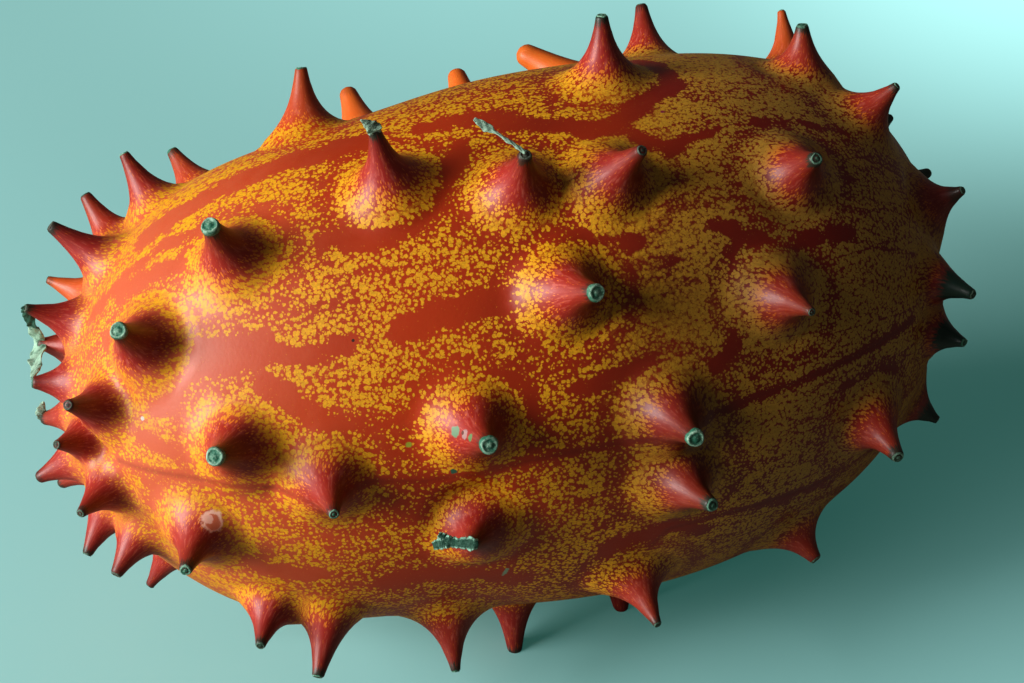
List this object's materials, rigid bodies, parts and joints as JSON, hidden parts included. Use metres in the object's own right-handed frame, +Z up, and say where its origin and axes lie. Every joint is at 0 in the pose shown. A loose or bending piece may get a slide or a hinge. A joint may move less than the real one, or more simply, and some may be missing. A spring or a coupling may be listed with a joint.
{
  "type": "horned melon fruit",
  "caption": "Whole ripe horned melon, an egg-shaped fruit studded with short fleshy horns, resting on its side.",
  "frame": {"origin": "centre of the bounding box over the surface it rests on, at the lowest spine tips", "axes": "+X along the fruit from the blossom end to the stalk end, +Z up, the side seen in the picture faces -Y"},
  "size_m": [0.1238, 0.0828, 0.0802],
  "materials": {
    "rind": "waxy, smooth, glossy on the spines, speckled yellow orange over red orange",
    "stalk_wood": "dry, fibrous, matte",
    "dried_flower": "dry, papery, matte"
  },
  "bodies": {
    "root": {"fruit": "rind", "stalk_stub": "stalk_wood", "flower_remains": "dried_flower", "dry_strand": "dried_flower", "tip_scrap": "dried_flower"}
  },
  "joints": []
}
